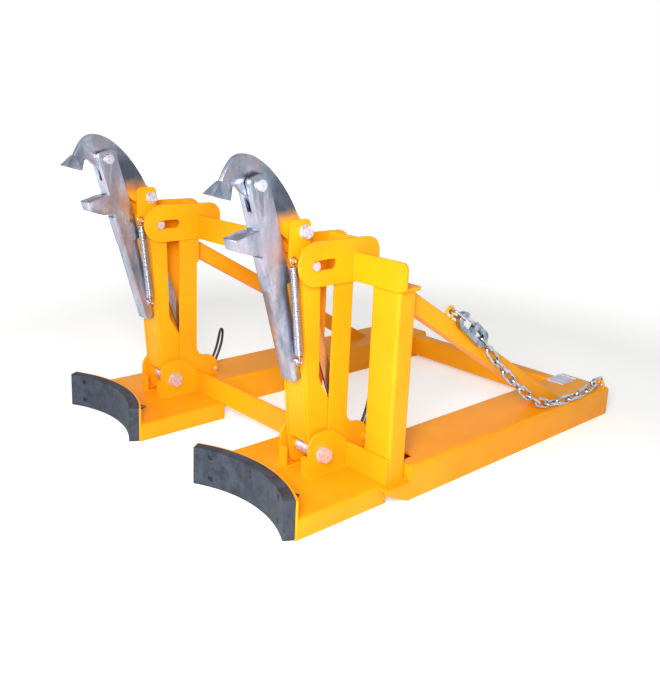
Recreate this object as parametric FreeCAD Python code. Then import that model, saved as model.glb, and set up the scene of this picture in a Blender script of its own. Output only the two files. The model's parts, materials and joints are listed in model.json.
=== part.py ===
import FreeCAD, Part
import math
import os

os.makedirs("parts", exist_ok=True)

V = FreeCAD.Vector

# Double drum lifter for two fork arms. Millimetres, floor at Z 0.
# X runs across the two grabs, +Y points back along the fork pockets, the drums stand at -Y.

# Layout
grab_spacing = 600.0        # centre of one drum to the centre of the other
plate = 6.0                 # side plates, cheeks, beams and fork channels
sheet = 5.0                 # base trays, backing plates and the folded arms
fit_gap = 0.3               # between a curved face and the plate welded or bolted to it

# Drum pads
drum_seat_radius = 306.0    # a 210 litre drum, 292.5 mm, with room for its hoops
drum_centre_y = -405.0
rubber_thick = 25.0
pad_height = 86.0
pad_end_step = 0.4          # degrees from the end of the backing plate to the end of the rubber
rubber_end_bevel = 5.0
screw_side = 118.0          # across, from the middle of the pad to each pair of screws
screw_d = 6.0
screw_head_d = 12.0
screw_head_h = 4.0
screw_sink = 3.0            # head below the face of the rubber
screw_nut_d = 11.0
screw_nut_h = 7.5
screw_end = 14.0            # past the outside of the backing plate
screw_low_z = 20.5
screw_high_z = 71.0
drain_hole_d = 5.0
drain_side = -6.0           # across, from the middle of the pad
drain_low_z = 60.5
drain_high_z = 72.5

# Base trays
tray_width = 350.0
tray_height = 43.0
tray_bend = 9.0

# Towers
tower_width = 102.0         # outside of one cheek to the outside of the other
upright_front_y = 76.0
upright_depth = 52.0
upright_top_z = 520.0
lobe_rear_y = 198.0
lobe_top_z = 141.0
lobe_radius = 42.0
lobe_fillet = 30.0
lobe_low_z = 20.0           # foot of the outer right lobe, which closes the fork channel beside it
lug_front_y = 14.0
lug_rear_y = 125.0
lug_top_z = 144.0
lug_front_radius = 36.0
lug_rear_z = 104.0
lug_return = 20.0           # how far the folded front edge of a lug turns inwards
lug_return_top_z = 90.0

# Heads
head_bottom_z = 470.0
head_top_z = 565.0
head_rear_y = 198.0
head_rear_round = 34.0
head_web_y = 131.0

# Beams between the towers, the post and the braces
beam_y = 125.0
upper_beam_low_z = 471.0
upper_beam_high_z = 534.0
upper_beam_round = 14.0
lower_beam_low_z = 43.0
lower_beam_high_z = 103.0
post_width = 80.0
post_depth = 52.0
post_wall = 4.0
post_x = 439.0
post_top_z = 470.0
cap_thick = 8.0
cap_overhang = 7.0
brace_size = 40.0
brace_wall = 4.0
brace_foot_near_y = 838.0
brace_foot_far_y = 823.0
far_brace_top_z = 467.0
far_brace_plate_low_z = 405.0

# Fork channels
channel_width = 160.0
channel_height = 79.0
channel_bend = 9.0
channel_rear_y = 1030.0
near_channel_x = 419.0
far_channel_x = -277.0
near_notch_x = 462.0        # the top plate is cut away up to here, round the tower
near_notch_y = 232.0
nose_front_y = 108.0
nose_low_y = 178.0
strap_width = 60.0
strap_thick = 5.0
strap_front_y = 330.0
strap_rear_y = 800.0
rear_beam_y = 968.0
rear_beam_depth = 40.0
rear_beam_low_z = 8.0
rear_beam_high_z = 74.0

# Swinging arms
arm_pivot_y = 54.0
arm_pivot_z = 91.0
arm_top_pin_y = 16.0
arm_top_pin_z = 513.5
arm_width = 74.0
arm_front = 25.0            # arm centre line to its front face
arm_rear = 20.0             # arm centre line to its rear edge at the top
arm_foot_z = 46.0
arm_foot_rear = 33.0        # pivot to the rear edge of the foot
arm_foot_round = 25.0
arm_top_z = 553.0
arm_web_low_z = 118.0
arm_neck_z = 459.0          # the rear edge starts to widen below this
arm_waist_z = 262.0
arm_waist_rear = 9.0
arm_shoulder_z = 196.0
pin_d = 20.0
pin_clear = 0.05            # radial, between a pin and the bore that turns on it
slot_clear = 1.0            # each side of the top pin in its slot
slot_travel = 45.0
pivot_head_across = 30.0
pivot_head_h = 12.5
washer_d = 37.0
washer_h = 3.0
sleeve_d = 30.0

# Beak bracket
bracket_front_y = -36.0
bracket_rear_y = 18.0
bracket_low_z = 527.0
bracket_top_z = 609.0
bracket_outside = 52.0
ear_thick = 4.0
bracket_round = 12.0
beak_bolt_y = 2.5
beak_bolt_z = 583.0
beak_bolt_d = 16.0
beak_bolt_across = 24.0
beak_bolt_head_h = 10.0
beak_hub_d = 28.0

# Beak and lever
beak_thick = 12.0
beak_foot_width = 40.0
lever_pin_y = -108.0
lever_pin_z = 679.0
lever_pin_d = 16.0
lever_outside = 43.0
lever_wall = 6.0
lever_lean = 16.3           # degrees off the vertical
lever_length = 430.0        # lever pin to the foot of the tail
lever_front = 24.5          # lever pin to the front of the web
lever_depth = 47.0
lever_tail_depth = 24.0
lever_web = 5.0
lever_slot_foot = 48.0      # lever pin to the foot of the slot in the web, below the beak
lever_slot_gap = 2.0        # each side of the beak
lever_step = 212.0          # lever pin to the step in the cheeks, along the lever
nose_width = 43.0
spring_d = 19.0
spring_wire = 3.0
spring_peg_d = 9.4
spring_eye_d = 13.0
spring_x = 32.0
spring_top_y = -31.0
spring_top_z = 521.0
spring_low_y = -6.0
spring_low_z = 316.0

# Stay bar inside each arm
stay_width = 24.0
stay_thick = 6.0
stay_top_y = 32.0
stay_top_z = 388.0
stay_low_y = 100.0
stay_low_z = 205.0

# Clamping handles
handle_hub_y = 186.0
handle_hub_z = 97.0
handle_hub_d = 25.0
handle_hub_w = 16.0
handle_screw_d = 10.0
handle_nut_across = 17.0
handle_nut_h = 7.0

# Chain
link_wire = 6.0
link_pitch = 47.4
link_width = 24.0
link_count = 14
link_play = 0.4
hook_play = 3.0             # first link in the hook, whose edge is square
chain_x = 484.0
chain_low_z = 91.0
hook_x = 472.0
hook_y = 393.0
hook_z = 349.0
hook_tilt = 37.7            # degrees down to the rear
hook_length = 130.0
hook_width = 41.0
hook_thick = 8.0
hook_mouth_d = 20.0
hook_mouth_s = -41.0        # hook centre to its mouth, along the hook
hook_slot_s = 47.0          # hook centre to the far end of the chain slot
hook_slot_length = 36.0
hook_slot_width = 15.0
latch_pivot_s = 2.0
latch_pivot_t = 12.5
latch_pin_d = 4.0
latch_thick = 5.0
latch_width = 7.0
latch_gap = 0.5
latch_lap = 2.0             # how far its tip reaches into the lip of the hook
eye_wire = 7.0
eye_radius = 11.5           # to the middle of the wire
eye_leg = 11.0              # straight foot of each eye below its half ring
brace_eye_y = 322.0
long_link_width = 38.0
long_link_play = 2.5        # it lies aslant in the hook's mouth


def box(x0, x1, y0, y1, z0, z1):
    return Part.makeBox(x1 - x0, y1 - y0, z1 - z0, V(x0, y0, z0))


def cyl_x(x0, x1, y, z, d):
    return Part.makeCylinder(d / 2, x1 - x0, V(x0, y, z), V(1, 0, 0))


def hex_x(x0, x1, y, z, across):
    r = across / math.sqrt(3)
    pts = [V(x0, y + r * math.cos(math.radians(60 * k + 30)), z + r * math.sin(math.radians(60 * k + 30)))
           for k in range(7)]
    return Part.Face(Part.makePolygon(pts)).extrude(V(x1 - x0, 0, 0))


def rounded(points, place):
    """Closed outline of straight runs; each point is (a, b, radius), and place turns (a, b) into a vector."""
    n = len(points)
    starts = []
    ends = []
    mids = []
    for i in range(n):
        a, b, r = points[i]
        p = V(a, b, 0)
        q = V(*points[i - 1][:2], 0)
        s = V(*points[(i + 1) % n][:2], 0)
        u = (q - p).normalize()
        w = (s - p).normalize()
        if r <= 0:
            starts.append(p)
            ends.append(p)
            mids.append(None)
            continue
        half = u.getAngle(w) / 2
        t = r / math.tan(half)
        centre = p + (u + w).normalize() * (r / math.sin(half))
        starts.append(p + u * t)
        ends.append(p + w * t)
        mids.append(centre + (p - centre).normalize() * r)
    edges = []
    for i in range(n):
        if mids[i] is not None:
            edges.append(Part.Arc(*[place(v.x, v.y) for v in (starts[i], mids[i], ends[i])]).toShape())
        nxt = starts[(i + 1) % n]
        if (nxt - ends[i]).Length > 1e-6:
            edges.append(Part.LineSegment(place(ends[i].x, ends[i].y), place(nxt.x, nxt.y)).toShape())
    return Part.Face(Part.Wire(edges))


def plate_x(points, x0, x1):
    """Flat plate with its outline in the YZ plane."""
    return rounded(points, lambda a, b: V(x0, a, b)).extrude(V(x1 - x0, 0, 0))


def plate_y(points, y0, y1):
    """Flat plate with its outline in the XZ plane."""
    return rounded(points, lambda a, b: V(a, y0, b)).extrude(V(0, y1 - y0, 0))


def plate_z(points, z0, z1):
    """Flat plate with its outline in the XY plane."""
    return rounded(points, lambda a, b: V(a, b, z0)).extrude(V(0, 0, z1 - z0))


def bent_cover(x0, x1, y0, y1, height, wall, bend):
    """Folded inverted U, open below, that runs along Y."""
    outer = plate_y([(x0, 0, 0), (x0, height, bend), (x1, height, bend), (x1, 0, 0)], y0, y1)
    inner = plate_y([(x0 + wall, -wall, 0), (x0 + wall, height - wall, bend - wall),
                     (x1 - wall, height - wall, bend - wall), (x1 - wall, -wall, 0)], y0 - wall, y1 + wall)
    return outer.cut(inner)


def rect_tube(size_a, size_b, length, wall, corner):
    """Rectangular tube along +Y, centred on X and Z."""
    def section(a, b, r):
        return plate_y([(-a / 2, -b / 2, r), (-a / 2, b / 2, r), (a / 2, b / 2, r), (a / 2, -b / 2, r)], 0, length)
    return section(size_a, size_b, corner).cut(section(size_a - 2 * wall, size_b - 2 * wall, corner - wall / 2))


def arc_band(r0, r1, half_angle, z0, z1):
    """Part of a ring about the drum's axis, open towards -Y."""
    def at(r, angle, z=z0):
        a = math.radians(angle)
        return V(r * math.sin(a), drum_centre_y + r * math.cos(a), z)
    edges = [Part.Arc(at(r0, -half_angle), at(r0, 0), at(r0, half_angle)).toShape(),
             Part.LineSegment(at(r0, half_angle), at(r1, half_angle)).toShape(),
             Part.Arc(at(r1, half_angle), at(r1, 0), at(r1, -half_angle)).toShape(),
             Part.LineSegment(at(r1, -half_angle), at(r0, -half_angle)).toShape()]
    return Part.Face(Part.Wire(edges)).extrude(V(0, 0, z1 - z0))


def radial_cyl(angle, z, r0, r1, d):
    a = math.radians(angle)
    direction = V(math.sin(a), math.cos(a), 0)
    start = V(0, drum_centre_y, z) + direction * r0
    return Part.makeCylinder(d / 2, r1 - r0, start, direction)


def arm_point(z, forward=0.0):
    """Y of a point on the arm at height z, forward of its centre line."""
    lean = (arm_top_pin_y - arm_pivot_y) / (arm_top_pin_z - arm_pivot_z)
    return arm_pivot_y + lean * (z - arm_pivot_z) - forward


backing_inner = drum_seat_radius + rubber_thick
backing_outer = backing_inner + sheet
backing_half_angle = math.degrees(math.asin(tray_width / 2 / backing_outer))
pad_half_angle = backing_half_angle - pad_end_step
cheek_out = tower_width / 2
cheek_in = cheek_out - plate
upright_in = cheek_in - plate
arm_out = arm_width / 2
arm_in = arm_out - sheet
upright_rear_y = upright_front_y + upright_depth
beam_rear_y = beam_y + plate
post_rear_y = beam_rear_y + post_depth
slot_angle = math.degrees(slot_travel / (arm_top_pin_z - arm_pivot_z))


def pad_screws():
    angle = math.degrees(math.asin(screw_side / drum_seat_radius))
    return [(side * angle, z) for side in (-1, 1) for z in (screw_low_z, screw_high_z)]


def base_tray():
    half = tray_width / 2
    front = drum_centre_y + drum_seat_radius * math.cos(math.asin(half / backing_outer))
    tray = bent_cover(-half, half, front, beam_rear_y, tray_height, sheet, tray_bend)
    clear = Part.makeCylinder(backing_outer + fit_gap, 3 * tray_height, V(0, drum_centre_y, -tray_height))
    return tray.cut(clear)


def backing_plate():
    band = arc_band(backing_inner, backing_outer, backing_half_angle, 0, pad_height - 1)
    for angle, z in pad_screws():
        band = band.cut(radial_cyl(angle, z, backing_inner - 5, backing_outer + 5, screw_d + 0.4))
    return band


def rubber_pad():
    band = arc_band(drum_seat_radius, backing_inner - fit_gap, pad_half_angle, 0, pad_height)
    for side in (-1, 1):
        a = math.radians(side * pad_half_angle)
        corner = V(drum_seat_radius * math.sin(a), drum_centre_y + drum_seat_radius * math.cos(a), 0)
        cutter = Part.makeBox(2 * rubber_end_bevel, 2 * rubber_end_bevel, 3 * pad_height,
                              V(-rubber_end_bevel, -rubber_end_bevel, -pad_height))
        cutter.rotate(V(0, 0, 0), V(0, 0, 1), 45 - side * pad_half_angle)
        cutter.translate(corner + V(0, -rubber_end_bevel * 0.7, 0))
        band = band.cut(cutter)
    for angle, z in pad_screws():
        band = band.cut(radial_cyl(angle, z, drum_seat_radius - 5, backing_inner + 5, screw_d + 0.4))
        band = band.cut(radial_cyl(angle, z, drum_seat_radius - 5, drum_seat_radius + screw_head_h + screw_sink,
                                   screw_head_d + 1))
    drain_angle = math.degrees(math.asin(drain_side / drum_seat_radius))
    for z in (drain_low_z, drain_high_z):
        band = band.cut(radial_cyl(drain_angle, z, drum_seat_radius - 5, backing_inner + 5, drain_hole_d))
    return band


def pad_screw_set():
    solids = []
    seat = drum_seat_radius + screw_head_h + screw_sink
    for angle, z in pad_screws():
        head = radial_cyl(angle, z, seat - screw_head_h, seat, screw_head_d)
        socket = radial_cyl(angle, z, seat - screw_head_h - 1, seat - screw_head_h + 2.5, screw_d * 0.8)
        shank = radial_cyl(angle, z, seat, backing_outer + screw_end, screw_d)
        nut = radial_cyl(angle, z, backing_outer + fit_gap, backing_outer + screw_nut_h, screw_nut_d)
        solids.append(head.cut(socket).fuse([shank, nut]).removeSplitter())
    return Part.makeCompound(solids)


def inner_side_plate():
    """Plain rear upright of a tower."""
    return box(-cheek_in, -upright_in, upright_front_y, upright_rear_y, tray_height, upright_top_z)


def outer_side_plate(low_z):
    """Rear upright with the rounded lobe at its foot and the welded nut of the clamping handle."""
    pts = [(upright_front_y, tray_height, 0),
           (upright_front_y, upright_top_z, 0),
           (upright_rear_y, upright_top_z, 0),
           (upright_rear_y, lobe_top_z, lobe_fillet),
           (lobe_rear_y, lobe_top_z, lobe_radius),
           (lobe_rear_y, low_z, 0),
           (beam_rear_y, low_z, 0),
           (beam_rear_y, tray_height, 0)]
    shape = plate_x(pts, upright_in, cheek_in)
    nut = hex_x(cheek_in, cheek_in + handle_nut_h, handle_hub_y, handle_hub_z, handle_nut_across)
    shape = shape.fuse(nut).removeSplitter()
    return shape.cut(cyl_x(0, tower_width, handle_hub_y, handle_hub_z, handle_screw_d + 2 * pin_clear))


def lug(side):
    """Lower pivot plate with the front edge folded inwards."""
    x0 = cheek_in if side > 0 else -cheek_out
    pts = [(lug_front_y, tray_height, 0),
           (lug_front_y, lug_top_z, lug_front_radius),
           (arm_pivot_y + 25, lug_top_z, 25),
           (lug_rear_y, lug_rear_z + 8, 10),
           (lug_rear_y, tray_height, 0)]
    shape = plate_x(pts, x0, x0 + plate)
    turn = [(side * cheek_in, lug_return_top_z, 0), (side * cheek_in, tray_height, 0),
            (side * (cheek_in - lug_return), tray_height, 0),
            (side * (cheek_in - lug_return), lug_return_top_z, 8)]
    shape = shape.fuse(plate_y(turn, lug_front_y, lug_front_y + sheet)).removeSplitter()
    return shape.cut(cyl_x(x0 - 1, x0 + plate + 1, arm_pivot_y, arm_pivot_z, pin_d + 2 * pin_clear))


def head_slot(x0, x1):
    """Curved slot that the arm's top pin runs in."""
    r = pin_d / 2 + slot_clear
    reach = math.hypot(arm_top_pin_y - arm_pivot_y, arm_top_pin_z - arm_pivot_z)

    def at(angle, radius):
        base = math.atan2(arm_top_pin_z - arm_pivot_z, arm_top_pin_y - arm_pivot_y)
        a = base - math.radians(angle)
        return V(x0, arm_pivot_y + radius * math.cos(a), arm_pivot_z + radius * math.sin(a))
    tip = math.degrees(r / reach)
    edges = [Part.Arc(at(0, reach + r), at(slot_angle / 2, reach + r), at(slot_angle, reach + r)).toShape(),
             Part.Arc(at(slot_angle, reach + r), at(slot_angle + tip, reach), at(slot_angle, reach - r)).toShape(),
             Part.Arc(at(slot_angle, reach - r), at(slot_angle / 2, reach - r), at(0, reach - r)).toShape(),
             Part.Arc(at(0, reach - r), at(-tip, reach), at(0, reach + r)).toShape()]
    return Part.Face(Part.Wire(edges)).extrude(V(x1 - x0, 0, 0))


def head_cheek(side):
    x0 = cheek_in if side > 0 else -cheek_out
    height = head_top_z - head_bottom_z
    round_front = height / 2 - 0.5
    front = arm_top_pin_y + 2 - height / 2
    pts = [(front, head_bottom_z, round_front), (front, head_top_z, round_front),
           (head_rear_y, head_top_z, head_rear_round), (head_rear_y, head_bottom_z, 8)]
    return plate_x(pts, x0, x0 + plate).cut(head_slot(x0 - 1, x0 + plate + 1))


def head_web():
    return box(-cheek_in, cheek_in, head_web_y, head_web_y + plate, head_bottom_z, head_top_z)


def arm():
    """Folded channel, open to the rear, with a round foot and its welded pivot tube."""
    waist_y = arm_point(arm_waist_z, -arm_waist_rear)
    foot_rear = arm_pivot_y + arm_foot_rear
    pts = [(arm_point(arm_foot_z, arm_front), arm_foot_z, arm_foot_round),
           (arm_point(arm_top_z, arm_front), arm_top_z, 10),
           (arm_point(arm_top_z, -arm_rear), arm_top_z, 10),
           (arm_point(arm_neck_z, -arm_rear), arm_neck_z, 60),
           (waist_y, arm_waist_z, 20),
           (foot_rear, arm_shoulder_z, 14),
           (foot_rear, arm_foot_z, arm_foot_round)]
    body = plate_x(pts, -arm_out, arm_out)
    inside = plate_x([(arm_point(-100, arm_front - sheet), -100, 0),
                      (arm_point(900, arm_front - sheet), 900, 0),
                      (400, 900, 0), (400, -100, 0)], -arm_in, arm_in)
    body = body.cut(inside)
    body = body.cut(box(-arm_in, arm_in, -200, 200, 0, arm_web_low_z))
    body = body.cut(box(-arm_in, arm_in, -200, 200, bracket_low_z, 900))
    body = body.fuse(cyl_x(-arm_in, arm_in, arm_pivot_y, arm_pivot_z, sleeve_d)).removeSplitter()
    bore = pin_d + 2 * pin_clear
    body = body.cut(cyl_x(-arm_out - 1, arm_out + 1, arm_pivot_y, arm_pivot_z, bore))
    return body.cut(cyl_x(-arm_out - 1, arm_out + 1, arm_top_pin_y, arm_top_pin_z, pin_d))


def bracket():
    """Two ears for the beak on a shelf that sits in the top of the arm."""
    half = bracket_outside / 2
    shelf_front = arm_point(bracket_low_z, arm_front)
    shelf = box(-arm_in, arm_in, shelf_front, bracket_rear_y, bracket_low_z, bracket_low_z + plate)
    pts = [(bracket_front_y, bracket_low_z, 6), (bracket_front_y, bracket_top_z, bracket_round),
           (bracket_rear_y, bracket_top_z, bracket_round), (bracket_rear_y, bracket_low_z, 0)]
    ears = [plate_x(pts, -half, -half + ear_thick), plate_x(pts, half - ear_thick, half)]
    shape = shelf.fuse(ears).removeSplitter()
    peg = cyl_x(half, spring_x + spring_wire / 2, spring_top_y, spring_top_z + spring_eye_d / 2, spring_peg_d)
    shape = shape.fuse(peg).removeSplitter()
    return shape.cut(cyl_x(-half - 1, half + 1, beak_bolt_y, beak_bolt_z, beak_bolt_d))


def cross_bolt(y, z, d, grip, across, head_h):
    """Bolt along X with a hex head at +X and a nut at -X, both on washers."""
    shank = cyl_x(-grip - washer_h - head_h, grip + washer_h, y, z, d)
    parts = [cyl_x(grip, grip + washer_h, y, z, across * 1.22),
             cyl_x(-grip - washer_h, -grip, y, z, across * 1.22),
             hex_x(grip + washer_h, grip + washer_h + head_h, y, z, across),
             hex_x(-grip - washer_h - head_h * 0.8, -grip - washer_h, y, z, across)]
    return shank.fuse(parts).removeSplitter()


def pivot_bolt():
    return cross_bolt(arm_pivot_y, arm_pivot_z, pin_d, cheek_out, pivot_head_across, pivot_head_h)


def beak_bolt():
    return cross_bolt(beak_bolt_y, beak_bolt_z, beak_bolt_d, bracket_outside / 2, beak_bolt_across,
                      beak_bolt_head_h)


def top_pin():
    return cyl_x(-cheek_out - 1.5, cheek_out + 1.5, arm_top_pin_y, arm_top_pin_z, pin_d)


def beak_outline():
    """Points of the hooked upper jaw, from the tail in the bracket round over the top to the tip and back."""
    return [(-20, 563), (14, 572), (13, 600), (0, 614), (-34, 667), (-60, 696), (-88, 719.5),
            (-115, 733.5), (-140, 737.5), (-155, 733), (-172, 717), (-188, 688), (-191, 676),
            (-177, 663), (-164, 676), (-154, 679), (-143, 667), (-128, 658), (-112, 638), (-66, 596)]


def smooth(points, x, closed_from, closed_to):
    """Outline that is a curve through one stretch of the points and straight runs through the rest."""
    vecs = [V(x, a, b) for a, b in points]
    curve = Part.BSplineCurve()
    curve.interpolate(vecs[closed_from:closed_to + 1])
    edges = [curve.toShape()]
    rest = vecs[closed_to:] + vecs[:closed_from + 1]
    for a, b in zip(rest[:-1], rest[1:]):
        edges.append(Part.LineSegment(a, b).toShape())
    return Part.Face(Part.Wire(edges))


def beak():
    """Hook plate with a hub on its bolt and a wide foot at its tip."""
    half = beak_thick / 2
    body = smooth(beak_outline(), -half, 3, 11).extrude(V(beak_thick, 0, 0))

    def ring(w, y0, z0, y1, z1):
        return Part.makePolygon([V(-w, y0, z0), V(w, y0, z0), V(w, y1, z1), V(-w, y1, z1), V(-w, y0, z0)])
    foot = Part.makeLoft([ring(half, -191, 688, -162, 680), ring(beak_foot_width / 2, -214, 663, -176, 652.5)], True, True)
    hub_half = bracket_outside / 2 - ear_thick - fit_gap
    hub = cyl_x(-hub_half, hub_half, beak_bolt_y, beak_bolt_z, beak_hub_d)
    shape = body.fuse([foot, hub]).removeSplitter()
    shape = shape.cut(cyl_x(-50, 50, beak_bolt_y, beak_bolt_z, beak_bolt_d + 2 * pin_clear))
    return shape.cut(cyl_x(-50, 50, lever_pin_y, lever_pin_z, lever_pin_d))


def lever_place(along, across):
    """Point on the lever: along is measured down it from its pin, across is to the rear."""
    a = math.radians(lever_lean)
    return (lever_pin_y + along * math.sin(a) + across * math.cos(a),
            lever_pin_z - along * math.cos(a) + across * math.sin(a))


def lever_outline(points):
    return [(*lever_place(along, across), r) for along, across, r in points]


def lever():
    """Channel-shaped lever with its gripping nose; it hangs from the pin in the beak."""
    front = -lever_front
    half = lever_outside / 2
    inside = half - lever_wall
    upper = lever_outline([(-22, front - 1, 14), (-22, front + lever_depth, 16),
                           (lever_step, front + lever_depth, 0), (lever_step + 8, front, 0)])
    lower = lever_outline([(lever_step - 60, front + 1.5, 0), (lever_step - 60, front + lever_depth - 6, 0),
                           (lever_length, front + lever_tail_depth, 4), (lever_length, front + 1.5, 4)])
    body = plate_x(upper, -half, half).fuse(plate_x(lower, -half + 1.5, half - 1.5)).removeSplitter()
    hollow = lever_outline([(-60, front + 1.5 + lever_web, 0), (-60, front + 90, 0),
                            (lever_length + 40, front + 90, 0), (lever_length + 40, front + 1.5 + lever_web, 0)])
    body = body.cut(plate_x(hollow, -inside, inside))
    throat = lever_outline([(-60, front - 20, 0), (-60, front + 90, 0), (lever_slot_foot, front + 90, 0),
                            (lever_slot_foot, front - 20, 0)])
    slot = beak_thick / 2 + lever_slot_gap
    body = body.cut(plate_x(throat, -slot, slot))
    stiff = plate_x(lever_outline([(142, front - 5, 0), (142, front + 1, 0), (lever_step + 6, front + 1, 0),
                                   (lever_step + 6, front - 3, 0)]), -14, 14)
    nose = plate_x([(-127, 588, 3), (-165, 576, 3), (-157, 553, 3), (-122, 543, 3),
                    (*lever_place(134, front + 20), 0), (*lever_place(86, front + 20), 0)],
                   -nose_width / 2, nose_width / 2)
    nose = nose.cut(plate_x(hollow, -60, 60))
    y, z = spring_low_y, spring_low_z - spring_eye_d / 2
    peg = cyl_x(half - lever_wall, spring_x + spring_wire / 2, y, z, spring_peg_d)
    body = body.fuse([nose, stiff, peg]).removeSplitter()
    return body.cut(cyl_x(-60, 60, lever_pin_y, lever_pin_z, lever_pin_d + 2 * pin_clear))


def lever_pin():
    half = lever_outside / 2
    head = cyl_x(half + 0.3, half + 5, lever_pin_y, lever_pin_z, lever_pin_d + 7)
    ring = cyl_x(-half - 5, -half - 0.3, lever_pin_y, lever_pin_z, lever_pin_d + 7)
    return cyl_x(-half - 7, half + 7, lever_pin_y, lever_pin_z, lever_pin_d).fuse([head, ring]).removeSplitter()


def spring_body():
    """Extension spring as a hollow sleeve with an eye over the peg at each end."""
    top = V(spring_x, spring_top_y, spring_top_z)
    low = V(spring_x, spring_low_y, spring_low_z)
    axis = (low - top).normalize()
    start = top + axis * spring_eye_d / 2
    length = (low - top).Length - spring_eye_d
    coil = Part.makeCylinder(spring_d / 2, length, start, axis)
    bore = Part.makeCylinder(spring_d / 2 - spring_wire, length - 2 * spring_wire, start + axis * spring_wire, axis)
    shape = coil.cut(bore)
    eye_r = (spring_eye_d - spring_wire) / 2 + spring_wire / 2
    peg_top = V(spring_x, spring_top_y, spring_top_z + spring_eye_d / 2)
    peg_low = V(spring_x, spring_low_y, spring_low_z - spring_eye_d / 2)
    eyes = [Part.makeTorus(eye_r, spring_wire / 2, peg_top, V(1, 0, 0)),
            Part.makeTorus(eye_r, spring_wire / 2, peg_low, V(1, 0, 0)),
            Part.makeCylinder(spring_wire / 2, spring_eye_d / 2 + 2, top + V(0, 0, 0), axis),
            Part.makeCylinder(spring_wire / 2, spring_eye_d / 2 + 2, low, axis * -1)]
    return shape.fuse(eyes).removeSplitter()


def stay_bar():
    """Flat bar from the arm's web down to the rear, inside the folded arm."""
    direction = V(0, stay_low_y - stay_top_y, stay_low_z - stay_top_z).normalize()
    across = V(0, direction.z, -direction.y)
    half = stay_width / 2
    corners = [(stay_top_y, stay_top_z), (stay_low_y, stay_low_z)]
    pts = []
    for (y, z), signs in ((corners[0], (1, -1)), (corners[1], (-1, 1))):
        for s in signs:
            pts.append((y + across.y * half * s, z + across.z * half * s, 8))
    return plate_x(pts, arm_in - stay_thick, arm_in)


def clamp_handle():
    """Bent clamping handle with its threaded stud through the lobe."""
    face = upright_in - fit_gap
    hub = cyl_x(face - handle_hub_w, face, handle_hub_y, handle_hub_z, handle_hub_d)
    stud = cyl_x(face - 4, cheek_in + handle_nut_h + 3, handle_hub_y, handle_hub_z, handle_screw_d)
    bend = [(-10, 5, 0), (6, 30, 20), (20, 62, 30), (25, 109, 6), (44, 110, 6), (42, 74, 40), (26, 20, 20),
            (11, -6, 0)]
    grip = plate_x([(handle_hub_y + dy, handle_hub_z + dz, r) for dy, dz, r in bend],
                   face - handle_hub_w + 1, face - 1)
    return hub.fuse([stud, grip]).removeSplitter()


def channel(centre_x, front_y):
    x0 = centre_x - channel_width / 2
    return bent_cover(x0, x0 + channel_width, front_y, channel_rear_y, channel_height, plate, channel_bend)


def near_channel():
    """Outer channel: its top is cut away round the tower, and its outer wall runs forward as a low nose."""
    x0 = near_channel_x - channel_width / 2
    x1 = x0 + channel_width
    nose_z = tray_height - plate
    above = channel_height + 1
    shape = channel(near_channel_x, nose_front_y)
    shape = shape.cut(box(x0 - 1, x1 - plate, 0, beam_rear_y, -1, above))
    shape = shape.cut(box(x0 - 1, x0 + plate, 0, lobe_rear_y + fit_gap, -1, above))
    shape = shape.cut(box(x0 - 1, near_notch_x, 0, near_notch_y, channel_height - plate, above)
                      .cut(box(x0 - 1, x0 + plate, 0, near_notch_y, 0, above)))
    shape = shape.cut(box(x0, x1 + 1, 0, post_rear_y + fit_gap, nose_z, above)
                      .cut(box(x0, x0 + plate, 0, near_notch_y, 0, above)))
    wedge = plate_x([(nose_front_y - 1, -1, 0), (nose_low_y, -1, 0), (nose_low_y, 0, 0),
                     (nose_front_y - 1, nose_z - 4, 0)], x1 - plate - 1, x1 + 1)
    return shape.cut(wedge)


def far_channel():
    return channel(far_channel_x, beam_rear_y)


def straps():
    """Flat bars that close the fork pockets below, flush with the floor edge of the channels."""
    solids = []
    for cx in (near_channel_x, far_channel_x):
        half = channel_width / 2 - plate
        for y in (strap_front_y, strap_rear_y):
            solids.append(box(cx - half, cx + half, y, y + strap_width, 0, strap_thick))
    return Part.makeCompound(solids)


def rear_beam():
    x0 = far_channel_x + channel_width / 2
    x1 = near_channel_x - channel_width / 2
    tube = rect_tube(rear_beam_depth, rear_beam_high_z - rear_beam_low_z, x1 - x0, brace_wall, 6)
    tube.rotate(V(0, 0, 0), V(0, 0, 1), -90)
    tube.translate(V(x0, rear_beam_y + rear_beam_depth / 2, (rear_beam_low_z + rear_beam_high_z) / 2))
    return tube


def upper_beams():
    """One beam between the two heads and a short one from the right head over the post."""
    inner = grab_spacing / 2 - cheek_out
    middle = box(-inner, inner, beam_y, beam_rear_y, upper_beam_low_z, upper_beam_high_z)
    x0 = grab_spacing / 2 + cheek_out
    x1 = near_channel_x + channel_width / 2
    pts = [(x0, upper_beam_low_z, 0), (x0, upper_beam_high_z, 0), (x1, upper_beam_high_z, upper_beam_round),
           (x1, post_top_z + cap_thick, 0), (post_x + post_width / 2, upper_beam_low_z, 0)]
    return Part.makeCompound([middle, plate_y(pts, beam_y, beam_rear_y)])


def lower_beams():
    """The same pair at the foot, between the rear uprights and on to the post."""
    inner = grab_spacing / 2 - cheek_in
    middle = box(-inner, inner, beam_y, beam_rear_y, lower_beam_low_z, lower_beam_high_z)
    outer = box(grab_spacing / 2 + cheek_in, post_x + post_width / 2, beam_y, beam_rear_y,
                lower_beam_low_z, lower_beam_high_z)
    return Part.makeCompound([middle, outer])


def post():
    tube = rect_tube(post_width, post_depth, post_top_z - tray_height, post_wall, 7)
    tube.rotate(V(0, 0, 0), V(1, 0, 0), 90)
    tube.translate(V(post_x, beam_rear_y + post_depth / 2, tray_height))
    return tube


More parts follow.
